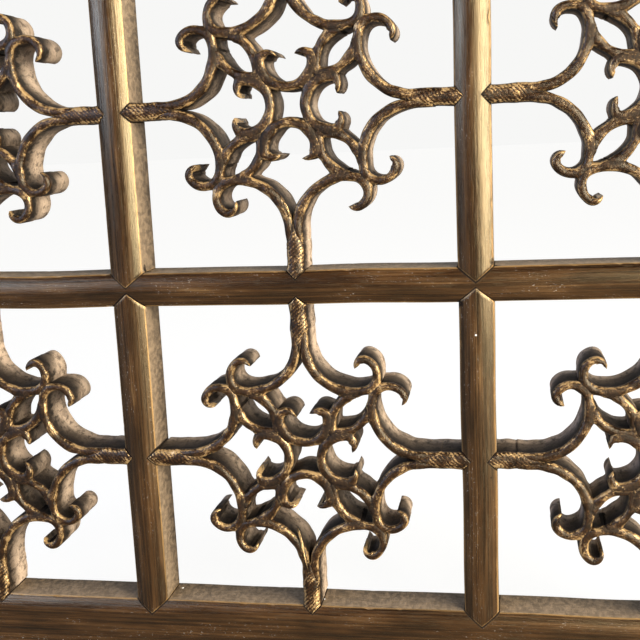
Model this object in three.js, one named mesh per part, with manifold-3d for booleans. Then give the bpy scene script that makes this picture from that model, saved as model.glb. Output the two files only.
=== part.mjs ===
// A carved lattice screen panel: a grid of round-faced wooden bars inside a mitred frame,
// with one fret-cut scroll rosette held by four stems in every cell of the grid.
// Millimetres, +X to the viewer's right, +Y into the wall, +Z up. The front faces -Y.
// The origin is the middle of the underside of the bottom rail, where the panel sits
// on the sill of its opening.
import * as THREE from 'three';
import * as BufferGeometryUtils from 'three/addons/utils/BufferGeometryUtils.js';
import Module from 'manifold-3d';

const wasm = await Module();
wasm.setup();

// Grid of cells.
const COLUMNS = 3;
const ROWS = 2;
const OPENING_WIDTH = 144.5;
const OPENING_HEIGHT = 145.8;
const COLUMN_NAMES = ['left', 'middle', 'right'];
const ROW_NAMES = ['lower', 'upper'];

// Lattice bars: flat-sided, with the front and the back each rounded to a low arc.
const BAR_WIDTH = 15.5;
const BAR_FLAT_DEPTH = 18.7;
const ROUND_RISE = 3;
const ROUND_FACETS = 4;

// How far a bar's pointed end reaches over the bar that it meets.
const POINT_REACH = 6.5;

// Frame members: the same rounded inner edge, then a flat face out to the outer edge.
const FRAME_WIDTH = 26;

// Clearance left between two pieces where they meet.
const GAP = 0.3;

// Fret rosette: strips of one width, sawn square through a board. Its front and its back
// are this far from the middle of the bars' thickness.
const FRET_FRONT = 11.2;
const FRET_BACK = 11.8;
const STRIP_WIDTH = 4.3;
const STEM_HALF_WIDTH = 4.05;

// The most that a facet may cut inside its true arc.
const FACET_SAG = 0.6;

// The four C-scrolls round the middle: a round back and a tight curl at each end.
const SCROLL_CENTRE = 19;
const SCROLL_RADIUS = 11.3;
const SCROLL_HALF_SWEEP = 92;
const SCROLL_CURL_RADIUS = 2.9;
const SCROLL_CURL_SWEEP = 150;

// The eight arms: each leaves a stem, sweeps outward and ends in a hook.
const ARM_START = 54.4;
const ARM_SWEEP_RADIUS = 22.5;
const ARM_SWEEP = 100;
const ARM_BEND_RADIUS = 7.3;
const ARM_BEND = 140;
const ARM_HOOK_RADIUS = 2.6;
const ARM_HOOK = 110;

// The eight leaf strips: each runs along a scroll's flank, then curves out to an arm.
const LEAF_FLANK_RADIUS = 13.2;
const LEAF_FLANK_FROM = 118;
const LEAF_FLANK_TO = 95;
const LEAF_RADIUS = 15;
const LEAF_SWEEP = 64;

// Worked out from the sizes above.
const BAR_HALF = BAR_WIDTH / 2;
const ARRIS_Y = BAR_FLAT_DEPTH / 2;
const CREST_Y = ARRIS_Y + ROUND_RISE;
const ROUND_RADIUS = (BAR_HALF * BAR_HALF + ROUND_RISE * ROUND_RISE) / (2 * ROUND_RISE);
const PITCH_X = OPENING_WIDTH + BAR_WIDTH;
const PITCH_Z = OPENING_HEIGHT + BAR_WIDTH;
const PANEL_WIDTH = COLUMNS * PITCH_X - BAR_WIDTH + 2 * FRAME_WIDTH;
const PANEL_HEIGHT = ROWS * PITCH_Z - BAR_WIDTH + 2 * FRAME_WIDTH;

const darkWood = new THREE.MeshStandardMaterial({
  color: 0x5e4026, roughness: 0.5, metalness: 0.0,
});
const bronzedWood = new THREE.MeshStandardMaterial({
  color: 0x7a5a34, roughness: 0.42, metalness: 0.15,
});

// ---- Solids: prisms from outlines, and their joins and cuts ----

function solidOf(geometry) {
  geometry.deleteAttribute('normal');
  geometry.deleteAttribute('uv');
  const merged = BufferGeometryUtils.mergeVertices(geometry, 1e-5);
  return new wasm.Manifold(new wasm.Mesh({
    numProp: 3,
    vertProperties: Float32Array.from(merged.attributes.position.array),
    triVerts: Uint32Array.from(merged.index.array),
  }));
}

function geometryOf(solid) {
  const mesh = solid.getMesh();
  const geometry = new THREE.BufferGeometry();
  const positions = new Float32Array(mesh.numVert * 3);
  for (let i = 0; i < mesh.numVert; i += 1) {
    positions.set(mesh.vertProperties.slice(i * mesh.numProp, i * mesh.numProp + 3), i * 3);
  }
  geometry.setAttribute('position', new THREE.BufferAttribute(positions, 3));
  geometry.setIndex(Array.from(mesh.triVerts));
  return geometry;
}

function extruded(outline, length) {
  const shape = new THREE.Shape(outline.map(([u, v]) => new THREE.Vector2(u, v)));
  return new THREE.ExtrudeGeometry(shape, { depth: length, bevelEnabled: false });
}

// A prism on an outline drawn in the panel's face (x, z), from y = near to y = far.
function facePrism(outline, near, far) {
  const geometry = extruded(outline, far - near);
  geometry.rotateX(Math.PI / 2);
  geometry.translate(0, far, 0);
  return solidOf(geometry);
}

// An upright bar: a section drawn in (x, y), from z = low to z = high.
function uprightPrism(section, low, high) {
  const geometry = extruded(section, high - low);
  geometry.translate(0, 0, low);
  return solidOf(geometry);
}

// A level bar: a section drawn in (z, y) and even about y = 0, from x = left to right.
function levelPrism(section, left, right) {
  const geometry = extruded(section, right - left);
  const turn = new THREE.Matrix4().makeBasis(
    new THREE.Vector3(0, 0, 1),
    new THREE.Vector3(0, -1, 0),
    new THREE.Vector3(1, 0, 0),
  );
  geometry.applyMatrix4(turn);
  geometry.translate(left, 0, 0);
  return solidOf(geometry);
}

// ---- Sections ----

// Depth of the rounded face at a distance across from the bar's centre line.
function roundDepth(across) {
  return CREST_Y - ROUND_RADIUS + Math.sqrt(ROUND_RADIUS * ROUND_RADIUS - across * across);
}

// Distances across the rounded face, in equal facets, from one arris to the other.
const ACROSS = Array.from(
  { length: ROUND_FACETS + 1 },
  (_, i) => BAR_HALF * (2 * i / ROUND_FACETS - 1),
);

// Lattice bar about its own centre line: flat sides and a rounded front and back.
function barSection(centre) {
  const front = ACROSS.map((across) => [centre + across, -roundDepth(across)]);
  const back = ACROSS.map((across) => [centre - across, roundDepth(across)]);
  return [...front, ...back];
}

// Frame member from its outer edge to its inner edge; inward is +1 or -1.
function frameSection(outer, inward) {
  const crest = outer + inward * (FRAME_WIDTH - BAR_HALF);
  const half = ACROSS.filter((across) => across > -1e-9);
  const front = half.map((across) => [crest + inward * across, -roundDepth(across)]);
  const back = half.map((across) => [crest + inward * across, roundDepth(across)]);
  const section = [[outer, -CREST_Y], ...front, ...back.reverse(), [outer, CREST_Y]];
  return inward > 0 ? section : section.reverse();
}

// ---- Bird's-mouth joints: a bar's rounded face ends in a point laid over the next bar ----

// The pointed plan of a bar's end: shoulders square across (x, z), tip towards the middle
// of the crossing. grow widens the point all round, and root carries the plan back into
// the bar behind its shoulders.
function pointPlan(x, z, direction, grow, root) {
  const [dx, dz] = direction;
  const half = BAR_HALF + grow * Math.SQRT2;
  const reach = POINT_REACH + grow * Math.SQRT2;
  const at = (along, across) => [x + dx * along - dz * across, z + dz * along + dx * across];
  return [at(-root, -half), at(0, -half), at(reach, 0), at(0, half), at(-root, half)];
}

// A plan's prisms over the front and over the back, from a floor depth outwards.
function facePrisms(plan, floor) {
  const clockwise = THREE.ShapeUtils.isClockWise(plan.map(([u, v]) => new THREE.Vector2(u, v)));
  const outline = clockwise ? [...plan].reverse() : plan;
  const above = CREST_Y + 1;
  return facePrism(outline, -above, -floor).add(facePrism(outline, floor, above));
}

// The two notches, front and back, that one point drops into.
function pointNotches(x, z, direction) {
  return facePrisms(pointPlan(x, z, direction, GAP, GAP), ARRIS_Y - GAP);
}

// The two points themselves, front and back, cut from the bar's own rounded faces.
function points(x, z, direction, fullBar) {
  return fullBar.intersect(facePrisms(pointPlan(x, z, direction, 0, 1), ARRIS_Y));
}

// ---- Fret strips: a centre line of arcs given a width ----

// Points of a chain of arcs that all bend the same way. The first arc has the given centre
// and start angle, and each next one carries on smoothly from the end of the one before.
// A sweep above zero runs anticlockwise. Angles are in degrees.
function arcChain(centre, startAngle, arcs) {
  const line = [];
  let [cx, cy] = centre;
  let angle = startAngle;
  let radius = arcs[0].radius;
  arcs.forEach((arc, index) => {
    if (index > 0) {
      const a = THREE.MathUtils.degToRad(angle);
      cx += (radius - arc.radius) * Math.cos(a);
      cy += (radius - arc.radius) * Math.sin(a);
      radius = arc.radius;
    }
    const facetTurn = THREE.MathUtils.radToDeg(2 * Math.acos(1 - FACET_SAG / arc.radius));
    const count = Math.ceil(Math.abs(arc.sweep) / facetTurn);
    for (let i = index === 0 ? 0 : 1; i <= count; i += 1) {
      const a = THREE.MathUtils.degToRad(angle + arc.sweep * i / count);
      line.push([cx + radius * Math.cos(a), cy + radius * Math.sin(a)]);
    }
    angle += arc.sweep;
  });
  return line;
}

// The outline of a strip of even width along a line, squared off at both ends.
function stripOutline(line, width) {
  const left = [];
  const right = [];
  line.forEach(([x, y], i) => {
    const [ax, ay] = line[Math.max(i - 1, 0)];
    const [bx, by] = line[Math.min(i + 1, line.length - 1)];
    const length = Math.hypot(bx - ax, by - ay);
    const nx = -(by - ay) / length;
    const ny = (bx - ax) / length;
    left.push([x + nx * width / 2, y + ny * width / 2]);
    right.unshift([x - nx * width / 2, y - ny * width / 2]);
  });
  const outline = [...left, ...right];
  const clockwise = THREE.ShapeUtils.isClockWise(outline.map(([u, v]) => new THREE.Vector2(u, v)));
  return clockwise ? outline.reverse() : outline;
}

// C-scroll on the +X side of the rosette, its back to the middle.
function scrollLine() {
  const half = arcChain([SCROLL_CENTRE, 0], 180, [
    { radius: SCROLL_RADIUS, sweep: SCROLL_HALF_SWEEP },
    { radius: SCROLL_CURL_RADIUS, sweep: SCROLL_CURL_SWEEP },
  ]);
  const mirrored = half.slice(1).map(([x, y]) => [x, -y]);
  return [...mirrored.reverse(), ...half];
}

// Upper arm of the +X stem, from the stem out to its hook.
function armLine() {
  return arcChain([ARM_START, STEM_HALF_WIDTH - STRIP_WIDTH / 2 + ARM_SWEEP_RADIUS], -90, [
    { radius: ARM_SWEEP_RADIUS, sweep: -ARM_SWEEP },
    { radius: ARM_BEND_RADIUS, sweep: -ARM_BEND },
    { radius: ARM_HOOK_RADIUS, sweep: -ARM_HOOK },
  ]);
}

// Leaf strip on the upper flank of the +X scroll, from the diagonal out to the arm.
function leafLine() {
  const flank = arcChain([SCROLL_CENTRE, 0], LEAF_FLANK_FROM, [
    { radius: LEAF_FLANK_RADIUS, sweep: LEAF_FLANK_TO - LEAF_FLANK_FROM },
  ]);
  const a = THREE.MathUtils.degToRad(LEAF_FLANK_TO);
  const reach = LEAF_FLANK_RADIUS + LEAF_RADIUS;
  const centre = [SCROLL_CENTRE + reach * Math.cos(a), reach * Math.sin(a)];
  const outer = arcChain(centre, LEAF_FLANK_TO - 180, [{ radius: LEAF_RADIUS, sweep: LEAF_SWEEP }]);
  return [...flank, ...outer.slice(1)];
}

function quarterTurned([x, y], turns) {
  const a = turns * Math.PI / 2;
  return [x * Math.cos(a) - y * Math.sin(a), x * Math.sin(a) + y * Math.cos(a)];
}

// The whole fret about its own middle: four scrolls, eight arms, eight leaf strips and
// four stems, all sawn from one board and so joined into one solid.
function rosetteSolid() {
  const mirror = ([x, y]) => [x, -y];
  const lines = [scrollLine(), armLine(), leafLine()];
  const outlines = [];
  for (let turns = 0; turns < 4; turns += 1) {
    const turn = (point) => quarterTurned(point, turns);
    outlines.push(stripOutline(lines[0].map(turn), STRIP_WIDTH));
    lines.slice(1).forEach((line) => {
      outlines.push(stripOutline(line.map(turn), STRIP_WIDTH));
      outlines.push(stripOutline(line.map(mirror).map(turn), STRIP_WIDTH));
    });
    const opening = turns % 2 === 0 ? OPENING_WIDTH : OPENING_HEIGHT;
    const stem = [[ARM_START - 1, 0], [opening / 2 - GAP, 0]].map(turn);
    outlines.push(stripOutline(stem, 2 * STEM_HALF_WIDTH));
  }
  const strips = outlines.map((outline) => facePrism(outline, -FRET_FRONT, FRET_BACK));
  return strips.reduce((whole, strip) => whole.add(strip));
}

// ---- Places of the grid ----

const cellX = (column) => (column - (COLUMNS - 1) / 2) * PITCH_X;
const cellZ = (row) => FRAME_WIDTH + OPENING_HEIGHT / 2 + row * PITCH_Z;
const mullionX = (line) => cellX(line) + PITCH_X / 2;
const transomZ = FRAME_WIDTH + OPENING_HEIGHT + BAR_HALF;
const innerLeft = -PANEL_WIDTH / 2 + FRAME_WIDTH;
const innerRight = PANEL_WIDTH / 2 - FRAME_WIDTH;
const innerTop = PANEL_HEIGHT - FRAME_WIDTH;
const halfWidth = PANEL_WIDTH / 2;
const mitreInset = GAP / 2 * Math.SQRT2;
const MULLION_LINES = [0, 1];
const UP = [0, 1];
const DOWN = [0, -1];
const LEFT = [-1, 0];
const RIGHT = [1, 0];

function cutAll(solid, cutters) {
  return cutters.reduce((left, cutter) => left.subtract(cutter), solid);
}

// ---- Pieces ----

const panel = new THREE.Group();

function place(name, solid, material) {
  const mesh = new THREE.Mesh(geometryOf(solid), material);
  mesh.name = name;
  panel.add(mesh);
  return mesh;
}

// Each frame member is cut to a mitred plan, with half the gap left at each mitre.
function bottomRail() {
  const body = levelPrism(frameSection(0, 1), -halfWidth, halfWidth);
  const plan = [
    [-halfWidth + mitreInset, 0],
    [halfWidth - mitreInset, 0],
    [innerRight - mitreInset, FRAME_WIDTH],
    [innerLeft + mitreInset, FRAME_WIDTH],
  ];
  const notches = MULLION_LINES.map((line) => pointNotches(mullionX(line), FRAME_WIDTH, DOWN));
  return cutAll(body.intersect(facePrism(plan, -CREST_Y, CREST_Y)), notches);
}

function topRail() {
  const body = levelPrism(frameSection(PANEL_HEIGHT, -1), -halfWidth, halfWidth);
  const plan = [
    [halfWidth - mitreInset, PANEL_HEIGHT],
    [-halfWidth + mitreInset, PANEL_HEIGHT],
    [innerLeft + mitreInset, innerTop],
    [innerRight - mitreInset, innerTop],
  ];
  const notches = MULLION_LINES.map((line) => pointNotches(mullionX(line), innerTop, UP));
  return cutAll(body.intersect(facePrism(plan, -CREST_Y, CREST_Y)), notches);
}

// Side stile; side is -1 for the left one and +1 for the right one.
function stile(side) {
  const body = uprightPrism(frameSection(side * halfWidth, -side), 0, PANEL_HEIGHT);
  const inner = side * (halfWidth - FRAME_WIDTH);
  const plan = [
    [side * halfWidth, mitreInset],
    [side * halfWidth, PANEL_HEIGHT - mitreInset],
    [inner, innerTop - mitreInset],
    [inner, FRAME_WIDTH + mitreInset],
  ];
  const outline = side > 0 ? plan : plan.reverse();
  const notch = pointNotches(inner, transomZ, side > 0 ? RIGHT : LEFT);
  return body.intersect(facePrism(outline, -CREST_Y, CREST_Y)).subtract(notch);
}

// The transom runs through; the mullions' points lie in its notches from both sides.
function transom() {
  const fullBar = levelPrism(barSection(transomZ), -halfWidth, halfWidth);
  const core = levelPrism(barSection(transomZ), innerLeft + GAP, innerRight - GAP);
  const ends = points(innerLeft, transomZ, LEFT, fullBar)
    .add(points(innerRight, transomZ, RIGHT, fullBar));
  const notches = MULLION_LINES.flatMap((line) => [
    pointNotches(mullionX(line), transomZ - BAR_HALF, UP),
    pointNotches(mullionX(line), transomZ + BAR_HALF, DOWN),
  ]);
  return cutAll(core.add(ends), notches);
}

// One cell's height of an upright bar, pointed at both ends.
function mullion(line, row) {
  const x = mullionX(line);
  const low = cellZ(row) - OPENING_HEIGHT / 2;
  const high = cellZ(row) + OPENING_HEIGHT / 2;
  const fullBar = uprightPrism(barSection(x), low - BAR_WIDTH, high + BAR_WIDTH);
  const core = uprightPrism(barSection(x), low + GAP, high - GAP);
  return core.add(points(x, low, DOWN, fullBar)).add(points(x, high, UP, fullBar));
}

place('bottom_rail', bottomRail(), darkWood);
place('top_rail', topRail(), darkWood);
place('left_stile', stile(-1), darkWood);
place('right_stile', stile(1), darkWood);
place('transom', transom(), darkWood);
for (let row = 0; row < ROWS; row += 1) {
  MULLION_LINES.forEach((line) => {
    const side = line === 0 ? 'left' : 'right';
    place(`${ROW_NAMES[row]}_${side}_mullion`, mullion(line, row), darkWood);
  });
}

const rosette = rosetteSolid();
for (let row = 0; row < ROWS; row += 1) {
  for (let column = 0; column < COLUMNS; column += 1) {
    const name = `${ROW_NAMES[row]}_${COLUMN_NAMES[column]}_rosette`;
    place(name, rosette, bronzedWood).position.set(cellX(column), 0, cellZ(row));
  }
}

export default panel;
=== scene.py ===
import math

import bpy
import numpy as np
from mathutils import Matrix, Vector


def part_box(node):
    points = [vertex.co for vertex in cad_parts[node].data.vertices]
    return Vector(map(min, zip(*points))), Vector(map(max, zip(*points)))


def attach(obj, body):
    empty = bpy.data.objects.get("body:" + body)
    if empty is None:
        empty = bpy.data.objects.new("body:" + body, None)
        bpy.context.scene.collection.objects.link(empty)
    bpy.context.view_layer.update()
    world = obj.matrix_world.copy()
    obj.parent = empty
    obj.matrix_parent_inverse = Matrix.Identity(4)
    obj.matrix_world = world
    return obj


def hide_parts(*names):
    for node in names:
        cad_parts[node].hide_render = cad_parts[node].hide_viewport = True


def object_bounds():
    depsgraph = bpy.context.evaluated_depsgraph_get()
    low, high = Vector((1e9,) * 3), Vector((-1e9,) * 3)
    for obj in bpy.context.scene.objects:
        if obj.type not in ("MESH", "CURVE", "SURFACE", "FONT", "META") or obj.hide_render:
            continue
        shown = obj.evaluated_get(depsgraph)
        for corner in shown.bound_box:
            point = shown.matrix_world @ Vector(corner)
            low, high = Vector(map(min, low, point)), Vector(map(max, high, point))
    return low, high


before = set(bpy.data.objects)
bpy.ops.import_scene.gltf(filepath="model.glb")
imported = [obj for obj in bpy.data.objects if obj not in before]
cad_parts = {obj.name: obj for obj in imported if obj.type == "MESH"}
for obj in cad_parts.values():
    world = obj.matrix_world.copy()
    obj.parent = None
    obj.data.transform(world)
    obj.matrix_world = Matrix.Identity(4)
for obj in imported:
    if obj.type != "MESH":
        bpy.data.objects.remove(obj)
cad_lo, cad_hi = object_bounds()

# ---- Frame: two rails and two stiles ----
# Straight-grained hardwood, stained dark and waxed. Each member is flat outside and
# rounded to a low arc along its inner edge, and the four are mitred at the corners.

MM = 0.001
FRAME_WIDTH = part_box("bottom_rail")[1].z
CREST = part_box("bottom_rail")[1].y
BAR_HALF = (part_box("lower_left_mullion")[1].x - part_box("lower_left_mullion")[0].x) / 2
RISE = 3.0 * MM
ARRIS = CREST - RISE
ROUND_RADIUS = (BAR_HALF**2 + RISE**2) / (2 * RISE)
INNER_X = cad_hi.x - FRAME_WIDTH
INNER_TOP = cad_hi.z - FRAME_WIDTH
STEM_HALF = 4.05 * MM
STEM_LANDING = 3.7 * MM
POINT_REACH = 6.5 * MM
ROSETTES = {
    row + "_" + column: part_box(row + "_" + column + "_rosette")
    for row in ("lower", "upper")
    for column in ("left", "middle", "right")
}
CENTRES = {name: (low + high) / 2 for name, (low, high) in ROSETTES.items()}
CELL_X = sorted({round(centre.x, 5) for centre in CENTRES.values()})
CELL_Z = sorted({round(centre.z, 5) for centre in CENTRES.values()})
MULLION_X = [(CELL_X[0] + CELL_X[1]) / 2, (CELL_X[1] + CELL_X[2]) / 2]
TRANSOM_Z = (CELL_Z[0] + CELL_Z[1]) / 2


def ripple(seed, *axes):
    """Smooth unevenness, mostly -1 to 1: the mean of nine sine waves of seeded direction
    and phase, each about one cycle per unit of the axes."""
    rng = np.random.default_rng(seed)
    total = 0.0
    for _ in range(9):
        way = rng.normal(0.0, 1.0, len(axes))
        way *= rng.uniform(0.5, 1.7) / np.linalg.norm(way)
        phase = rng.uniform(0.0, 2 * math.pi)
        total = total + np.sin(2 * math.pi * sum(w * a for w, a in zip(way, axes)) + phase)
    return total / 3.0


def smooth(low, high, value):
    """0 below low, 1 above high, and 3t^2 - 2t^3 between."""
    t = np.clip((value - low) / (high - low), 0.0, 1.0)
    return t * t * (3 - 2 * t)


def stations(start, end, coarse, fine, spots):
    """Distances along a bar, spaced by coarse, and by fine within reach of each
    (spot, reach): the running sum of one over the spacing, cut into equal parts."""
    line = np.linspace(start, end, 6000)
    density = np.full(line.shape, 1 / coarse)
    for spot, reach in spots:
        near = 1 - smooth(reach * 0.6, reach * 1.4, np.abs(line - spot))
        density = np.maximum(density, near / fine)
    running = np.concatenate([[0.0], np.cumsum((density[1:] + density[:-1]) / 2 * np.diff(line))])
    count = int(running[-1]) + 2
    return np.interp(np.linspace(0.0, running[-1], count), running, line)


def half_section(outer, flat):
    """Front half of a bar's section as (across, depth): up the flat side, over the eased
    arris, along depth = CREST - R + sqrt(R^2 - across^2) and down the other side. A frame
    member (flat) stays at CREST on the outer side of its crest line."""
    inset = np.array([0.0, 0.0, 0.0, 0.05, 0.2, 0.45]) * MM
    drop = np.array([4.0, 1.2, 0.4, 0.16, 0.04, 0.0]) * MM
    middle = np.linspace(-outer + inset[-1], BAR_HALF - inset[-1], 41 if flat else 35)[1:-1]
    across = np.concatenate([inset - outer, middle, (BAR_HALF - inset)[::-1]])
    fall = np.concatenate([drop, 0 * middle, drop[::-1]])
    run = np.maximum(across, 0.0) if flat else across
    depth = CREST - ROUND_RADIUS + np.sqrt(ROUND_RADIUS**2 - run**2) - fall
    if flat:
        depth[:3] = ARRIS + RISE - drop[:3]
    return across, depth


def joint_line(along, inward, half, reach):
    """Distance outside a pointed joint laid on a bar's face: inward is measured from the
    arris, and the point spans +-half along the bar and reaches in by reach."""
    beside = np.abs(along) - half
    slope = half / math.hypot(half, reach)
    over = (inward - reach * (1 - np.abs(along) / half)) * slope
    corner = np.hypot(np.maximum(beside, 0.0), np.maximum(inward, 0.0))
    return np.where(beside < 0, np.where(inward < 0, 0.0, over), corner)


def bar(name, node, seed, along_way, across_way, middle, ends, end_kind, outer, spots):
    """A bar's mesh: its section carried from ends[0] to ends[1]. Both ends are drawn out
    by a mitre (BAR_HALF - across) or a point reach (1 - |across| / BAR_HALF), fading
    back along the bar. spots lists (distance, side, half, reach) of the joints on it."""
    flat = outer > BAR_HALF
    across, depth = half_section(outer, flat)
    across = np.concatenate([across, across[::-1]])
    depth = np.concatenate([-depth, depth[::-1]])
    fine_spots = [(distance, half + 3 * MM) for distance, side, half, reach in spots]
    fine_spots += [(ends[0], 3 * MM), (ends[1], 3 * MM)]
    line = stations(ends[0], ends[1], 1.7 * MM, 0.36 * MM, fine_spots)[:, None]
    across = across[None, :] + 0 * line
    depth = depth[None, :] + 0 * line
    if end_kind == "mitre":
        drawn = BAR_HALF - across - 0.06 * MM
        fade = 60 * MM
    else:
        drawn = POINT_REACH * (1 - np.abs(across) / BAR_HALF)
        fade = 16 * MM
    from_low = np.clip(1 - (line - ends[0]) / fade, 0, 1)
    from_high = np.clip(1 - (ends[1] - line) / fade, 0, 1)
    along = line + drawn * (from_high - from_low)

    # Joints: dirt in the line round each point that lands on this bar.
    crease = np.zeros_like(along)
    for distance, side, half, reach in spots:
        gap = joint_line(along - distance, BAR_HALF - side * across, half, reach)
        strength = 1 - smooth(0.2 * MM, 0.75 * MM, gap)
        crease = np.maximum(crease, strength)
    end_gap = np.minimum(line - ends[0], ends[1] - line) + 0 * along
    if end_kind == "point":
        crease = np.maximum(crease, 0.8 * (1 - smooth(0.0, 0.3 * MM, end_gap)))
    else:
        crease = np.maximum(crease, 0.7 * (1 - smooth(0.1 * MM, 0.6 * MM, end_gap)))

    # Handwork: a little wander, shallow plane marks and nicks along the arrises.
    width = np.clip((across + outer) / (BAR_HALF + outer), 0, 1) if flat else 1.0
    bow = 0.14 * MM * ripple(seed, line / 0.09) * width
    hollow = (0.10 + 0.07 * ripple(seed + 1, along / 0.05, across / 0.02)) * MM
    marks = 0.03 * MM * ripple(seed + 2, along / 0.03, across / 0.0022)
    face = smooth(ARRIS - 0.6 * MM, ARRIS + 0.2 * MM, np.abs(depth))
    ease = 1 - smooth(0.0, 1.2 * MM, end_gap)
    sunk = 0.05 * MM if end_kind == "point" and along_way[2] else 0.18 * MM
    fall = (hollow + np.abs(marks) + sunk) * face + ease * 0.22 * MM
    edge = np.minimum(BAR_HALF - across, across + outer)
    arris = (1 - smooth(0.2 * MM, 1.1 * MM, edge)) * face
    nick = np.clip(ripple(seed + 3, along / 0.009, np.sign(across) * 5.0) - 1.05, 0, 1)
    fall = fall + 0.6 * MM * nick * arris
    depth = depth - np.sign(depth) * fall
    nicked = 0.5 * MM * nick * arris + (0.06 * MM if flat else 0.0)
    shift = bow - np.sign(across) * nicked
    wear = np.clip(arris * 0.9 + ease * 0.9 + nick * arris, 0, 1)
    crest = (1 - np.abs(across) / BAR_HALF) * face
    wear = np.maximum(wear, 0.35 * np.clip(crest, 0, 1))

    along_way, across_way = np.array(along_way, float), np.array(across_way, float)
    out = np.array([0.0, 1.0, 0.0])
    points = np.array(middle) + along[..., None] * along_way
    points = points + (across + shift)[..., None] * across_way + depth[..., None] * out
    facing = np.linalg.det([along_way, across_way, out]) > 0
    fields = {
        "grain": np.stack([along + 0.37 * seed, across, depth], axis=-1),
        "wear": wear,
        "crease": crease,
        "face": face,
        "chip": nick * arris,
    }
    return closed_tube(name, node, points, fields, facing, 3)


def tube_faces(count, ring, facing):
    """Quads between neighbouring rings, wrapped round, as vertex numbers."""
    i = np.arange(count - 1)[:, None] * ring
    j = np.arange(ring)[None, :]
    k = (j + 1) % ring
    quads = np.stack([i + j, i + k, i + ring + k, i + ring + j], axis=-1).reshape(-1, 4)
    return quads if facing else quads[:, ::-1]


def closed_tube(name, node, points, fields, facing, side):
    """A mesh of rings joined by quads. Each end is closed by quads across the ring from
    point j to point ring - 1 - j, and by one face at each side's straight run."""
    count, ring = points.shape[:2]
    faces = [list(f) for f in tube_faces(count, ring, facing)]
    smooth_count = len(faces)
    for start, turned in ((0, facing), ((count - 1) * ring, not facing)):
        last = ring // 2 - 1 - side
        cap = [[j, ring - 1 - j, ring - 2 - j, j + 1] for j in range(side, last)]
        cap.append(list(range(side, -1, -1)) + list(range(ring - 1, ring - 2 - side, -1)))
        cap.append(list(range(last, ring - last)))
        cap[-1] = cap[-1][::-1]
        cap = [[start + v for v in (f if turned else f[::-1])] for f in cap]
        faces += cap
    mesh = bpy.data.meshes.new(name)
    mesh.from_pydata(points.reshape(-1, 3), [], faces)
    flags = np.ones(len(faces), dtype=bool)
    flags[smooth_count:] = False
    mesh.polygons.foreach_set("use_smooth", flags)
    return dressed(name, node, mesh, fields)


def dressed(name, node, mesh, fields):
    """Puts the fields on the mesh as point attributes and links its object, riding on
    the root in place of the node."""
    for label, values in fields.items():
        kind = "FLOAT_VECTOR" if values.ndim == 3 or label == "grain" else "FLOAT"
        attribute = mesh.attributes.new(label, kind, "POINT")
        key = "vector" if kind == "FLOAT_VECTOR" else "value"
        attribute.data.foreach_set(key, values.astype(np.float32).ravel())
    mesh.validate()
    piece = bpy.data.objects.new(name, mesh)
    bpy.context.scene.collection.objects.link(piece)
    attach(piece, "root")
    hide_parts(node)
    return piece


class Wire:
    """An output of a shader node. An expression on wires and numbers adds Math nodes."""

    def __init__(self, recipe, socket):
        self.recipe = recipe
        self.socket = socket

    def maths(self, operation, first, second=0.0):
        return self.recipe.node("Math", {"operation": operation}, {0: first, 1: second})

    def __add__(self, other):
        return self.maths("ADD", self, other)

    def __radd__(self, other):
        return self.maths("ADD", other, self)

    def __sub__(self, other):
        return self.maths("SUBTRACT", self, other)

    def __rsub__(self, other):
        return self.maths("SUBTRACT", other, self)

    def __mul__(self, other):
        return self.maths("MULTIPLY", self, other)

    def __rmul__(self, other):
        return self.maths("MULTIPLY", other, self)


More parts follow.
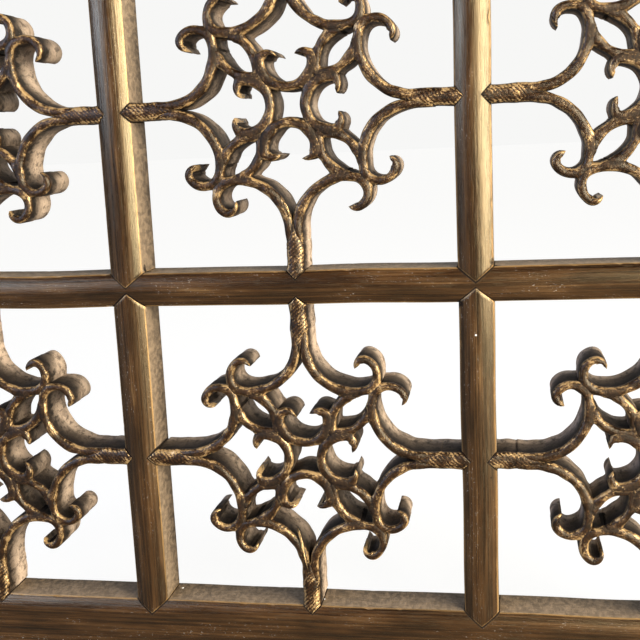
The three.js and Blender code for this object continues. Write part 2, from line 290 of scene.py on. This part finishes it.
class Recipe:
    """The nodes of a material, or of the world, built by expressions."""

    def __init__(self, name, kind=bpy.data.materials):
        self.made = kind.new(name)
        self.made.use_nodes = True
        self.tree = self.made.node_tree
        self.tree.nodes.clear()

    def node(self, kind, settings, sockets, output=0):
        """Adds a node: first its settings (stops are a ramp's), then its sockets, each a
        value or a wire. Gives one of its outputs."""
        made = self.tree.nodes.new("ShaderNode" + kind)
        for key, value in settings.items():
            if key == "stops":
                ramp = made.color_ramp.elements
                while len(ramp) < len(value):
                    ramp.new(0.5)
                for stop, (place, colour) in zip(ramp, value):
                    stop.position = place
                    stop.color = (*colour, 1.0)
            else:
                setattr(made, key, value)
        for key, value in sockets.items():
            if isinstance(value, Wire):
                self.tree.links.new(value.socket, made.inputs[key])
            else:
                made.inputs[key].default_value = value
        return None if output is None else Wire(self, made.outputs[output])

    def field(self, label, output=2):
        """A mesh attribute: output 2 is its number, 1 its vector."""
        return self.node("Attribute", {"attribute_name": label}, {}, output)

    def stretched(self, place, scale):
        """A place scaled on each axis."""
        return self.node("VectorMath", {"operation": "MULTIPLY"}, {0: place, 1: scale})

    def noise(self, place, scale, detail=3.0, roughness=0.55, distortion=0.0):
        sockets = {"Vector": self.stretched(place, scale), "Scale": 1.0, "Detail": detail}
        sockets.update({"Roughness": roughness, "Distortion": distortion})
        return self.node("TexNoise", {}, sockets)

    def band(self, value, low, high):
        """0 at low, 1 at high, smoothly."""
        sockets = {"Value": value, "From Min": low, "From Max": high}
        return self.node("MapRange", {"interpolation_type": "SMOOTHSTEP"}, sockets)

    def mix(self, first, second, factor, blend="MIX"):
        """Colours mixed by a factor."""
        first = first if isinstance(first, Wire) else (*first, 1.0)
        second = second if isinstance(second, Wire) else (*second, 1.0)
        settings = {"data_type": "RGBA", "blend_type": blend}
        return self.node("Mix", settings, {0: factor, 6: first, 7: second}, 2)

    def bump(self, height, distance):
        """A normal tilted by a height field, distance metres from its lowest to highest."""
        return self.node("Bump", {}, {"Height": height, "Strength": 1.0, "Distance": distance})

    def speck(self, spots, size):
        """1 within size of any of the spots, each a point in the frame, fading to 0."""
        place = self.node("TexCoord", {}, {}, 3)
        total = 0.0
        for spot in spots:
            away = self.node("VectorMath", {"operation": "DISTANCE"}, {0: place, 1: spot}, 1)
            total = self.band(away, size, size * 0.55) + total
        return total

    def shade(self, sockets, dirt=None):
        """Closes the material with a Principled shader, matt black lying over it where dirt
        is 1: dirt, and in the bronzed wood also painted shade."""
        surface = self.node("BsdfPrincipled", {}, sockets)
        if dirt:
            black = {"Base Color": (0.006, 0.004, 0.003, 1.0), "Roughness": 0.9}
            black["Specular IOR Level"] = 0.08
            dirt_and_shade_layer = self.node("BsdfPrincipled", {}, black)
            surface = self.node("MixShader", {}, {0: dirt, 1: surface, 2: dirt_and_shade_layer})
        self.node("OutputMaterial", {}, {"Surface": surface}, None)
        return self.made


# Old spots of white paint, two nail holes, and bruised corners where the bars cross.
PAINT_SPECKS = [(0.0797, -0.0117, 0.1574), (0.0044, -0.0026, 0.0259), (-0.0687, 0.0035, 0.0259)]
NAIL_HOLES = [(-0.0723, -0.0012, 0.0928), (0.0850, -0.0105, 0.0917)]
BRUISES = [(-0.0724, -0.0060, 0.1895), (-0.0712, -0.0045, 0.1874), (0.0889, -0.0070, 0.1874),
           (0.0876, -0.0095, 0.1893), (0.0729, -0.0098, 0.1708)]


def dark_wood():
    """Dark stained wood with lengthwise grain, pores and bronze wax on its worn parts."""
    wood = Recipe("dark_wood")
    grain = wood.field("grain", 1)
    streak = wood.noise(grain, (11.0, 900.0, 900.0), 4.0, 0.66)
    pore = wood.noise(grain, (110.0, 2600.0, 2600.0), 3.0, 0.65)
    cloud = wood.noise(grain, (26.0, 150.0, 150.0), 3.0, 0.6)
    tone = wood.node(
        "ValToRGB",
        {"stops": [
            (0.36, (0.006, 0.0023, 0.0009)),
            (0.46, (0.018, 0.0070, 0.0022)),
            (0.54, (0.036, 0.0150, 0.0045)),
            (0.68, (0.085, 0.042, 0.015)),
        ]},
        {"Fac": streak * 0.55 + cloud * 0.45},
    )
    face = wood.field("face")
    wear = wood.field("wear")
    crease = wood.field("crease")
    across, depth = (wood.node("SeparateXYZ", {}, {"Vector": grain}, n) for n in (1, 2))
    # Side faces are lighter towards the front arris and darker towards the back.
    shade = wood.band(depth, 0.0095, -0.0095)
    rough_cut = wood.noise(grain, (420.0, 420.0, 260.0), 4.0, 0.75)
    scuffed = wood.band(rough_cut, 0.38, 0.62)
    side_tone = wood.mix((0.036, 0.025, 0.017), (0.21, 0.148, 0.090), shade * 0.50 + scuffed * 0.55)
    outside = wood.band(across, -2.0 * BAR_HALF, -2.2 * BAR_HALF)
    side_tone = wood.mix(side_tone, tone, outside * 0.85)
    tone = wood.mix(side_tone, tone, face)
    rubbed = wood.band(wear + (cloud - 0.5) * 0.9 + (streak - 0.5) * 0.9, 0.40, 0.95)
    tone = wood.mix(tone, (0.34, 0.20, 0.075), rubbed * 0.7)
    pits = wood.band(pore, 0.56, 0.66)
    tone = wood.mix(tone, (0.008, 0.004, 0.002), pits * 0.6)
    chip = wood.band(wood.field("chip"), 0.25, 0.5)
    tone = wood.mix(tone, (0.20, 0.13, 0.07), chip * 0.6)
    dust = wood.noise(grain, (900.0, 2200.0, 2200.0), 2.0, 0.6)
    dust = wood.band(dust, 0.66, 0.72) * wood.band(cloud, 0.48, 0.62)
    paint = wood.speck(PAINT_SPECKS, 0.8 * MM)
    tone = wood.mix(tone, (0.50, 0.45, 0.38), dust * 0.6)
    tone = wood.mix(tone, (0.85, 0.85, 0.82), paint)
    rough = 0.17 + streak * 0.20 + (1 - face) * 0.25 + crease * 0.2 + pits * 0.2
    height = streak * 0.65 + pore * 0.35 + rough_cut * (1 - face) * 2.0
    bumped = wood.bump(height, 0.00022)
    dirt = wood.band(crease, 0.15, 0.8) * 0.95 + wood.speck(NAIL_HOLES, 0.85 * MM)
    dirt = dirt + wood.speck(BRUISES, 2.1 * MM) * wood.band(pore * 0.5 + rough_cut * 0.5, 0.44, 0.52)
    return wood.shade({
        "Base Color": tone,
        "Roughness": rough,
        "Metallic": rubbed * 0.4,
        "Specular IOR Level": 0.75,
        "Specular Tint": (1.0, 0.80, 0.46, 1.0),
        "Normal": bumped,
    }, dirt)


DARK_WOOD = dark_wood()
STEMS_X = [(x, 1, STEM_HALF, STEM_LANDING) for x in CELL_X]
STEMS_Z = [(z, 1, STEM_HALF, STEM_LANDING) for z in CELL_Z]
POINTS_X = [(x, 1, BAR_HALF, POINT_REACH) for x in MULLION_X]
POINTS_Z = [(TRANSOM_Z, 1, BAR_HALF, POINT_REACH)]
MEMBERS = {
    "bottom_rail": ((1, 0, 0), (0, 0, 1), (0, 0, FRAME_WIDTH - BAR_HALF), STEMS_X + POINTS_X),
    "top_rail": ((1, 0, 0), (0, 0, -1), (0, 0, INNER_TOP + BAR_HALF), STEMS_X + POINTS_X),
    "left_stile": ((0, 0, 1), (1, 0, 0), (-INNER_X - BAR_HALF, 0, 0), STEMS_Z + POINTS_Z),
    "right_stile": ((0, 0, 1), (-1, 0, 0), (INNER_X + BAR_HALF, 0, 0), STEMS_Z + POINTS_Z),
}
for number, (node, (along_way, across_way, middle, spots)) in enumerate(MEMBERS.items()):
    ends = (-INNER_X, INNER_X) if along_way[0] else (FRAME_WIDTH, INNER_TOP)
    outer = FRAME_WIDTH - BAR_HALF
    member = bar("carved_" + node, node, 10 + 7 * number, along_way, across_way, middle, ends,
                 "mitre", outer, spots)
    member.data.materials.append(DARK_WOOD)

# ---- Transom ----
# One bar right across the panel, rounded front and back, with the same wood and finish.
# Its pointed ends are let into the stiles, and the mullions' points are let into it.

both_sides = [(x, side, half, reach) for x, _, half, reach in STEMS_X + POINTS_X for side in (-1, 1)]
transom = bar("carved_transom", "transom", 101, (1, 0, 0), (0, 0, 1), (0, 0, TRANSOM_Z),
              (-INNER_X, INNER_X), "point", BAR_HALF, both_sides)
transom.data.materials.append(DARK_WOOD)

# ---- Mullions ----
# Four upright bars, one to each cell's height, pointed at both ends like a bird's mouth.
# The points lie on the rounded faces of the transom and rails, with a dark glue line.

for row, (low, high) in {
    "lower": (FRAME_WIDTH, TRANSOM_Z - BAR_HALF),
    "upper": (TRANSOM_Z + BAR_HALF, INNER_TOP),
}.items():
    for column, x in zip(("left", "right"), MULLION_X):
        node = row + "_" + column + "_mullion"
        landings = [(z, side, STEM_HALF, STEM_LANDING) for z in CELL_Z if low < z < high
                    for side in (-1, 1)]
        mullion = bar("carved_" + node, node, 200 + 31 * len(node) + int(x > 0), (0, 0, 1),
                      (1, 0, 0), (x, 0, 0), (low, high), "point", BAR_HALF, landings)
        mullion.data.materials.append(DARK_WOOD)

# ---- Rosettes ----
# Six frets, each sawn from one board: four C-scrolls round the middle, eight hooked arms
# from four stems and eight leaf strips. Noses are rounded by rasp and rubbed with bronze.

STRIP_HALF = 2.15 * MM
NOSE = 2.6 * MM
FRET_CREST = -11.2 * MM
FRET_BACK = 11.8 * MM
STEP = 0.8 * MM
RASP_TURNS = 2 * math.pi / (1.9 * MM)
SCROLL_START = 7.7 * MM
SCROLL_RADIUS = 11.3 * MM
ARM_START = (63 * MM, 1.9 * MM)
ARM_RADIUS = 22.5 * MM
LEAF_START = (12.8 * MM, 11.65 * MM)
LEAF_RADII = (13.2 * MM, 15 * MM)
STEM_START = 51.0 * MM
SPLINTERS = {
    "carved_lower_middle_rosette": [
        (-5.1, -33.2), (-3.9, -37.2), (-2.9, -45.0), (-1.6, -50.1), (-0.7, -55.6),
    ],
    "carved_upper_middle_rosette": [(-2.9, -42.5), (-2.1, -44.5), (-1.2, -46.6), (-0.9, -48.8)],
}


def curve(start, heading, arcs, turn=0.0):
    """A centre line of arcs. Its heading is the running sum of curvature times step, the
    curvature being 1 / radius over each arc's length, softened over 2 mm, and its points
    are the running sum of (cos heading, sin heading). arcs lists (radius, degrees)."""
    fine = 0.1 * MM
    pieces = [np.full(int(abs(math.radians(sweep)) * radius / fine), np.sign(sweep) / radius)
              for radius, sweep in arcs]
    bend = np.concatenate(pieces) + turn
    padded = np.pad(bend, 10, mode="edge")
    bend = np.convolve(padded, np.ones(21) / 21, mode="valid")
    angle = math.radians(heading) + np.concatenate([[0.0], np.cumsum(bend * fine)])
    middle = (angle[1:] + angle[:-1]) / 2
    x = start[0] + np.concatenate([[0.0], np.cumsum(np.cos(middle) * fine)])
    z = start[1] + np.concatenate([[0.0], np.cumsum(np.sin(middle) * fine)])
    count = max(int(len(x) * fine / STEP), 8)
    keep = np.linspace(0, len(x) - 1, count + 1).astype(int)
    return np.stack([x[keep], z[keep]], axis=1), angle[keep]


def nose_ring():
    """One strip's section: side runs across from -1 to 1 and back, and rise goes from 0
    at the shoulder to 1 at the crest of the nose as a superellipse of power 2.3; back
    is 1 at the flat back."""
    t = np.linspace(0, math.pi, 15)
    c, s = np.cos(t), np.sin(t)
    power = 2 / 2.3
    side = np.concatenate([-np.sign(c) * np.abs(c) ** power, np.ones(4), [0.93, 0.5, -0.5, -0.93],
                           -np.ones(4)])
    rise = np.concatenate([np.abs(s) ** power, np.zeros(12)])
    run = np.array([0.12, 0.50, 0.56, 0.985])
    back = np.concatenate([np.zeros(15), run, [1.0] * 4, run[::-1]])
    return side, rise, back


def strip(points, angle, half, crest, tips, seed, nose=None):
    """A fret strip: the section carried along a centre line. half is its half width at
    each station, crest its nose's depth, and tips says which ends are cut to a beak:
    the inner side falls back and narrows over the last 3.4 mm."""
    side, rise, back = nose_ring()
    count = len(points)
    length = np.concatenate([[0.0], np.cumsum(np.linalg.norm(np.diff(points, axis=0), axis=1))])
    rng = np.random.default_rng(seed)
    bend = np.gradient(angle)
    along = length[:, None] + 0 * side
    half = half[:, None] * (1 + 0.06 * ripple(seed + 5, along / 0.013)) + 0 * side
    across = side[None, :] * half
    pull = np.zeros_like(across)
    drop = np.zeros_like(across)
    for tip, start in zip(tips, (True, False)):
        if not tip:
            continue
        left = length[:, None] if start else length[-1] - length[:, None]
        inner = np.sign(bend[2] if start else bend[-3])
        inside = np.clip(0.5 + 0.5 * inner * side[None, :], 0, 1)
        near = 1 - smooth(0.0, 3.4 * MM, left)
        slant = rng.uniform(0.5, 1.5) * MM
        narrow = rng.uniform(0.25, 0.6)
        flare = rng.uniform(0.02, 0.16)
        across = across - inner * 2 * half * narrow * near * inside
        across = across - inner * half * flare * near * (1 - inside)
        back_off = slant * inside * near * (1 if start else -1)
        pull = pull + back_off
        drop = drop + 0.9 * MM * (1 - smooth(0.0, 1.6 * MM, left)) ** 2
    uneven = 0.10 * MM * ripple(seed + 1, along / 0.011, side[None, :] * 0.4)
    across = across + uneven
    nose = NOSE * (0.85 + 0.15 * half / STRIP_HALF) if nose is None else nose[:, None]
    shoulder = crest[:, None] + nose
    pitted = 0.09 * MM * ripple(seed + 2, along / 0.0035, side[None, :] * 0.9)
    front = shoulder + (crest[:, None] - shoulder) * rise[None, :]
    front = front + (drop + np.abs(pitted) + 0.05 * MM) * rise[None, :]
    tucked = np.where(back[None, :] > 0.52, 0.22 * MM, 0.0)
    across = across - np.sign(across) * np.minimum(tucked, 0.5 * np.abs(across))
    depth = np.where(back[None, :] > 0, shoulder + (FRET_BACK - shoulder) * back[None, :], front)
    depth = np.minimum(depth, FRET_BACK - 0.02 * MM)
    tangent = np.stack([np.cos(angle), np.sin(angle)], axis=1)
    normal = np.stack([-np.sin(angle), np.cos(angle)], axis=1)
    flat = points[:, None, :] + across[..., None] * normal[:, None, :]
    flat = flat + pull[..., None] * tangent[:, None, :]
    return {
        "flat": flat,
        "depth": depth,
        "along": along + rng.uniform(0, 0.7),
        "across": across,
        "rise": rise[None, :] + 0 * along,
        "normal": normal,
        "side": np.clip(side * 1.6, -1, 1)[None, :] + 0 * along,
        "centre": points,
        "half": half[:, 0],
        "filed": 0 * along,
        "front": 1 - smooth(0.5, 0.95, back)[None, :] + 0 * along,
        "tip": (1 - smooth(0.0, 2.5 * MM, np.minimum(along, length[-1] - along))) * max(tips),
        "bend": bend[:, None] / STEP + 0 * along,
    }


def turned(part, quarter, mirrored, family):
    """The part mirrored in the level axis if asked, then turned by quarters. Strips of a
    family flow into each other; a stem and its arms share a valley between the arms."""
    flip = np.array([1.0, -1.0 if mirrored else 1.0])
    a = quarter * math.pi / 2
    turn = np.array([[math.cos(a), math.sin(a)], [-math.sin(a), math.cos(a)]])
    made = dict(part)
    made["flat"] = (part["flat"] * flip) @ turn
    made["centre"] = (part["centre"] * flip) @ turn
    made["normal"] = (part["normal"] * flip) @ turn
    made["mirrored"] = mirrored
    made["family"] = family
    made["valley"] = np.zeros_like(part["depth"])
    if family == quarter:
        x, z = part["flat"][..., 0], np.abs(part["flat"][..., 1])
        span = smooth(46 * MM, 49 * MM, x) * (1 - smooth(53 * MM, 60 * MM, x))
        made["valley"] = span * (1 - smooth(0.15 * MM, 0.9 * MM, z))
    return made


def rosette_strips(seed):
    """All the strips of one fret, each quarter cut a little differently by hand."""
    rng = np.random.default_rng(seed)
    made = []
    for quarter in range(4):
        opening = (CELL_X[1] - CELL_X[0] if quarter % 2 == 0 else CELL_Z[1] - CELL_Z[0])
        edge = opening / 2 - BAR_HALF
        halves = []
        for _ in range(2):
            curl = rng.normal(0, 1, 3)
            arcs = [
                (SCROLL_RADIUS, -92 + 3 * curl[0]),
                ((2.9 + 0.15 * curl[1]) * MM, -150 + 14 * curl[2]),
            ]
            halves.append(curve((SCROLL_START, 0.0), 90, arcs))
        (up, up_angle), (down, down_angle) = halves
        down = down * [1, -1]
        line = np.concatenate([down[:0:-1], up])
        angle = np.concatenate([math.pi - down_angle[:0:-1], up_angle])
        place = np.linspace(-1, 1, len(line))
        half = STRIP_HALF * (1.04 - 0.10 * np.abs(place) ** 3)
        crest = np.full(len(line), FRET_CREST + 0.02 * MM)
        scroll = strip(line, angle, half, crest, (True, True), seed + quarter)
        made.append(turned(scroll, quarter, False, 10 + quarter))
        for mirrored in (False, True):
            key = seed + 10 * quarter + 50 * mirrored
            wild = rng.normal(0, 1, 4)
            arcs = [
                (1.0, -math.degrees(8.6 * MM)),
                (ARM_RADIUS, -100 + 1.5 * wild[0]),
                ((7.3 + 0.3 * wild[1]) * MM, -140 + 6 * wild[2]),
                (2.6 * MM, -128 + 16 * wild[3]),
            ]
            line, angle = curve(ARM_START, 180, arcs)
            place = np.linspace(0, 1, len(line))
            half = STRIP_HALF * (1.0 + 0.12 * smooth(0.08, 0.25, place) - 0.22 * smooth(0.2, 1.0, place))
            crest = FRET_CREST + (0.12 + 0.1 * ripple(key, place * 5)) * MM
            crest = crest + 0.6 * MM * (1 - smooth(0.02, 0.17, place))
            arm = strip(line, angle, half, crest, (False, True), key + 1)
            made.append(turned(arm, quarter, mirrored, quarter))
            line, angle = curve(LEAF_START, 28, [(LEAF_RADII[0], -23), (LEAF_RADII[1], 70)])
            place = np.linspace(0, 1, len(line))
            half = STRIP_HALF * (0.95 + 0.12 * smooth(0.5, 0.85, place) - 0.45 * smooth(0.85, 1.0, place))
            crest = np.full(len(line), FRET_CREST + 0.45 * MM) + 0.12 * MM * ripple(key + 2, place * 3)
            leaf = strip(line, angle, half, crest, (False, False), key + 3)
            made.append(turned(leaf, quarter, mirrored, 20 + 2 * quarter + mirrored))
        run = np.linspace(STEM_START, edge + STEM_LANDING, 44)
        line = np.stack([run, 0 * run], axis=1)
        inward = np.maximum(run - edge, 0.0)
        half = STEM_HALF * np.clip((run - 50.8 * MM) / (10 * MM), 0.03, 1.0)
        half = half * np.clip(1 - inward / STEM_LANDING, 0.03, 1.0)
        over = BAR_HALF - inward
        bar_face = ROUND_RADIUS - CREST - np.sqrt(ROUND_RADIUS**2 - over**2)
        crest = FRET_CREST - 0.42 * MM * smooth(edge - 7 * MM, edge + STEM_LANDING, run)
        nose = NOSE * 1.25 + 0 * run
        landed = smooth(edge - 1.0 * MM, edge + 0.4 * MM, run)
        nose = nose * (1 - landed) + landed * np.maximum(bar_face - crest + 0.12 * MM, 0.1 * MM)
        stem = strip(line, 0 * run, half, crest, (False, False), seed + 90 + quarter, nose)
        stem["filed"] = stem["filed"] + 1.0
        made.append(turned(stem, quarter, False, quarter))
    return made


def splinter(places, seed):
    """A sliver lifted from a strip: a narrow strip through the places, whose half width
    swells from a hair to 0.6 mm and back, standing 0.5 mm proud."""
    places = np.array(places) * MM
    run = np.linspace(0, 1, len(places))
    fine = np.linspace(0, 1, 34)
    line = np.stack([np.interp(fine, run, places[:, k]) for k in range(2)], axis=1)
    way = np.gradient(line, axis=0)
    angle = np.arctan2(way[:, 1], way[:, 0])
    half = MM * (0.05 + 0.55 * np.sin(math.pi * fine**0.7))
    crest = FRET_CREST - 0.5 * MM * smooth(0.1, 0.5, fine)
    piece = strip(line, angle, half, crest, (False, False), seed, 0.9 * MM + 0 * fine)
    behind = piece["depth"] - FRET_CREST
    piece["depth"] = FRET_CREST + np.where(behind > 0, behind * 0.12, behind)
    piece["tip"] = piece["tip"] + 1.6
    return turned(piece, 0, False, 3)


def contact_gap(parts, index):
    """Distance in the board's face from each point of a strip to the edge of the nearest
    strip of another family: distance to its centre line less its half width."""
    own = parts[index]["flat"].reshape(-1, 2)
    nearest = np.full(len(own), 1.0)
    for part in parts:
        if part["family"] == parts[index]["family"]:
            continue
        gap = own[:, None, :] - part["centre"][None, :, :]
        gap = np.linalg.norm(gap, axis=2) - part["half"][None, :]
        nearest = np.minimum(nearest, gap.min(axis=1))
    return nearest.reshape(parts[index]["depth"].shape)


def rosette(name, centre, seed):
    """Joins the strips of one fret into one mesh, closed at both ends of each strip."""
    parts = rosette_strips(seed)
    if name in SPLINTERS:
        parts.append(splinter(SPLINTERS[name], seed))
    points, grain, rise, crease, tip, curl, upward, filed = [], [], [], [], [], [], [], []
    faces, smooth_flags = [], []
    offset = 0
    for index, part in enumerate(parts):
        count, ring = part["depth"].shape
        gap = contact_gap(parts, index)
        web = 0.75 * MM * (1 - smooth(-0.3 * MM, 2.2 * MM, gap)) * part["side"]
        flat = part["flat"] + web[..., None] * part["normal"][:, None, :]
        planed = 0.15 * MM * (index * 0.618 % 1.0) * (1 - part["front"])
        warp_x = 0.25 * MM * ripple(seed + 300, flat[..., 0] / 0.05, flat[..., 1] / 0.05)
        warp_z = 0.25 * MM * ripple(seed + 301, flat[..., 0] / 0.05, flat[..., 1] / 0.05)
        points.append(np.stack([centre.x + flat[..., 0] + warp_x, part["depth"] - planed,
                                centre.z + flat[..., 1] + warp_z], axis=-1).reshape(-1, 3))
        grain.append(np.stack([part["along"], part["across"], part["depth"]], axis=-1).reshape(-1, 3))
        rise.append(part["rise"].ravel())
        dirt = 1 - smooth(-0.4 * MM, 0.6 * MM, gap - np.abs(web))
        crease.append((np.maximum(dirt, part["valley"]) * part["front"]).ravel())
        tip.append(part["tip"].ravel())
        curl.append((np.sign(part["across"]) * part["bend"] * part["front"]).ravel())
        level = part["side"] * part["normal"][:, None, 1]
        filed.append(part["filed"].ravel())
        upward.append((np.maximum(level, 0.0) * part["front"]).ravel())
        facing = not part["mirrored"]
        quads = tube_faces(count, ring, not facing) + offset
        faces += quads.tolist()
        smooth_flags += [True] * len(quads)
        first = [offset + v for v in range(ring)]
        last = [offset + (count - 1) * ring + v for v in range(ring)]
        faces.append(first if facing else first[::-1])
        faces.append(last[::-1] if facing else last)
        smooth_flags += [False, False]
        offset += count * ring
    mesh = bpy.data.meshes.new(name)
    mesh.from_pydata(np.concatenate(points), [], faces)
    mesh.polygons.foreach_set("use_smooth", smooth_flags)
    fields = {
        "grain": np.concatenate(grain),
        "rise": np.concatenate(rise),
        "crease": np.concatenate(crease),
        "tip": np.concatenate(tip),
        "upward": np.concatenate(upward),
        "filed": np.concatenate(filed),
        "curl": np.concatenate(curl),
    }
    return dressed(name, name.replace("carved_", ""), mesh, fields)


def bronzed_wood():
    """Dark wood with bronze rubbed on the noses, rasp marks and dirt in the joints. On the
    sides: painted shade near the noses and on up-facing sides, painted shade with dirt in
    the hollows of tight curls, and painted light towards the back.
    """
    wood = Recipe("bronzed_wood")
    grain = wood.field("grain", 1)
    along, across, depth = (wood.node("SeparateXYZ", {}, {"Vector": grain}, n) for n in range(3))
    rise = wood.field("rise")
    crease = wood.field("crease")
    tip = wood.field("tip")
    nose = wood.band(rise, 0.0, 0.25)
    # Insides of tight curls, blackened below: painted shade with some dirt.
    hollow = wood.band(wood.field("curl"), 60.0, 320.0)
    cloud = wood.noise(grain, (160.0, 260.0, 160.0), 3.0, 0.6)
    rasp = wood.noise(grain, (1000.0, 900.0, 900.0), 3.0, 0.65, 0.6)
    fleck = wood.noise(grain, (900.0, 1900.0, 1500.0), 3.0, 0.7)
    saw = wood.noise(grain, (330.0, 400.0, 210.0), 4.0, 0.75)
    phase = along * RASP_TURNS + across * RASP_TURNS * 0.9 + cloud * 14.0
    filed = wood.field("filed") * 0.7 + 0.3
    teeth = wood.node("Math", {"operation": "SINE"}, {0: phase}) * 0.5 * filed + 0.5
    tone = wood.node(
        "ValToRGB",
        {"stops": [
            (0.38, (0.004, 0.0017, 0.0007)),
            (0.48, (0.015, 0.0062, 0.0021)),
            (0.56, (0.038, 0.0165, 0.0055)),
            (0.68, (0.13, 0.068, 0.024)),
        ]},
        {"Fac": rasp * 0.5 + cloud * 0.4 + teeth * 0.1},
    )
    # Sides: painted shade near the nose and painted light from behind, pale towards the back edge.
    back = wood.band(depth + (saw - 0.5) * 0.022, -0.0070, 0.0050)
    side_tone = wood.mix((0.005, 0.003, 0.0018), (0.50, 0.37, 0.255), back)
    side_tone = wood.mix(side_tone, (0.035, 0.021, 0.012), wood.band(saw, 0.50, 0.62) * 0.7)
    side_tone = wood.mix(side_tone, (0.03, 0.018, 0.010), wood.band(cloud, 0.50, 0.66) * 0.5)
    tone = wood.mix(side_tone, tone, nose)
    rim = wood.band(rise, 0.12, 0.40) * (1 - wood.band(rise, 0.72, 0.96))
    worn = rim * 0.42 + rise * 0.28 + tip * 0.25 + (fleck - 0.5) * 1.7 + (cloud - 0.5) * 1.9
    worn = worn + (teeth - 0.5) * 0.26
    rubbed = wood.band(worn, 0.44, 0.98) * nose
    tone = wood.mix(tone, (0.68, 0.44, 0.19), rubbed * 0.78)
    rough = 0.30 - rubbed * 0.06 + crease * 0.3 + (1 - nose) * 0.25
    height = teeth * nose * wood.band(cloud, 0.35, 0.65) * 0.11 + rasp * 0.45 + fleck * 0.35
    # Matt black over the strips: dirt in the joints, and painted shade on the sides, on those facing up
    # and in curl hollows.
    grime_and_painted_shade = wood.band(crease + (rasp - 0.5) * 0.6, 0.25, 0.95) * (0.9 - nose * 0.45)
    painted_top_shade = wood.band(wood.field("upward") + (saw - 0.5) * 0.9, 0.20, 0.90) * 0.78
    grime_and_painted_shade = grime_and_painted_shade + (1 - nose) * wood.node("Math", {"operation": "MAXIMUM"}, {0: hollow * 0.85, 1: painted_top_shade})
    return wood.shade({
        "Base Color": tone,
        "Roughness": rough,
        "Metallic": rubbed * 0.6,
        "Specular IOR Level": 0.4,
        "Specular Tint": (1.0, 0.86, 0.62, 1.0),
        "Normal": wood.bump(height, 0.0005),
    }, grime_and_painted_shade)


BRONZED_WOOD = bronzed_wood()
for number, (cell, centre) in enumerate(CENTRES.items()):
    fret = rosette("carved_" + cell + "_rosette", centre, 1000 + 400 * number)
    fret.data.materials.append(BRONZED_WOOD)

# ---- Floor, light and camera ----
# A plain pale floor under the sill, a broad window light from the right, a faint cool
# light from the left, and a camera close to the middle of the panel, looking down a little.

floor_mesh = bpy.data.meshes.new("floor")
FLOOR_REACH = 12.0
corners = [(x * FLOOR_REACH, y * FLOOR_REACH, 0) for x, y in ((-1, -1), (1, -1), (1, 1), (-1, 1))]
floor_mesh.from_pydata(corners, [], [(0, 1, 2, 3)])
floor = bpy.data.objects.new("floor", floor_mesh)
bpy.context.scene.collection.objects.link(floor)
ground = Recipe("floor")
seen_directly = ground.node("LightPath", {}, {})
floor_mesh.materials.append(ground.shade({
    "Base Color": (0.12, 0.12, 0.118, 1.0),
    "Roughness": 0.9,
    "Emission Color": (0.92, 0.92, 0.91, 1.0),
    "Emission Strength": 0.06 + seen_directly * 0.93,
}))

# Seen directly the backdrop is plain and pale. It lights the panel only from behind.
studio = Recipe("studio", bpy.data.worlds)
heading = studio.node("TexCoord", {}, {}, 0)
behind = studio.node("VectorMath", {"operation": "DOT_PRODUCT"}, {0: heading, 1: (0.25, 0.95, 0.1)}, 1)
glow = studio.node(
    "ValToRGB",
    {"stops": [(0.35, (0.035, 0.035, 0.045)), (1.0, (0.75, 0.71, 0.66))]},
    {"Fac": behind},
)
cast = studio.node("Background", {}, {"Color": glow, "Strength": 1.0})
seen = studio.node("Background", {}, {"Color": (0.93, 0.93, 0.92, 1.0), "Strength": 1.0})
directly = studio.node("LightPath", {}, {})
either = studio.node("MixShader", {}, {0: directly, 1: cast, 2: seen})
studio.node("OutputWorld", {}, {"Surface": either}, None)
bpy.context.scene.world = studio.made


def soft_box(name, colour, watts, size, azimuth, elevation, distance):
    """A rectangular area light aimed at the middle of the panel, from azimuth degrees right
    of the front."""
    light = bpy.data.lights.new(name, "AREA")
    light.color = colour
    light.energy = watts
    light.shape = "RECTANGLE"
    light.size, light.size_y = size
    lamp = bpy.data.objects.new(name, light)
    a, e = math.radians(azimuth), math.radians(elevation)
    back = Vector((math.sin(a) * math.cos(e), -math.cos(a) * math.cos(e), math.sin(e)))
    lamp.location = Vector((0, 0, TRANSOM_Z)) + back * distance
    lamp.rotation_mode = "QUATERNION"
    lamp.rotation_quaternion = back.to_track_quat("Z", "Y")
    lamp.visible_camera = False
    bpy.context.scene.collection.objects.link(lamp)


soft_box("window", (1.0, 0.95, 0.86), 62.0, (1.0, 0.95), 54, 13, 1.3)
soft_box("window_edge", (1.0, 0.93, 0.82), 14.0, (1.4, 0.8), 45, 13, 1.31)
soft_box("sky", (0.46, 0.60, 1.0), 18.0, (0.9, 0.6), -54, 20, 1.3)

CAMERA_PLACE = Vector((0.09407, -0.45316, 0.24754))
CAMERA_LENS = 57.24
yaw, pitch, roll = 0.186932, 0.181895, -0.046840
forward = Vector((-math.sin(yaw) * math.cos(pitch), math.cos(yaw) * math.cos(pitch), -math.sin(pitch)))
right = Vector((math.cos(yaw), math.sin(yaw), 0.0))
up = right.cross(forward)
right_rolled = math.cos(roll) * right + math.sin(roll) * up
up_rolled = math.cos(roll) * up - math.sin(roll) * right
camera_data = bpy.data.cameras.new("camera")
camera_data.sensor_width = 36.0
camera_data.lens = CAMERA_LENS
camera = bpy.data.objects.new("camera", camera_data)
turn = Matrix((right_rolled, up_rolled, -forward)).transposed().to_4x4()
camera.matrix_world = Matrix.Translation(CAMERA_PLACE) @ turn
bpy.context.scene.collection.objects.link(camera)
bpy.context.scene.camera = camera
bpy.context.scene.view_settings.view_transform = "Standard"
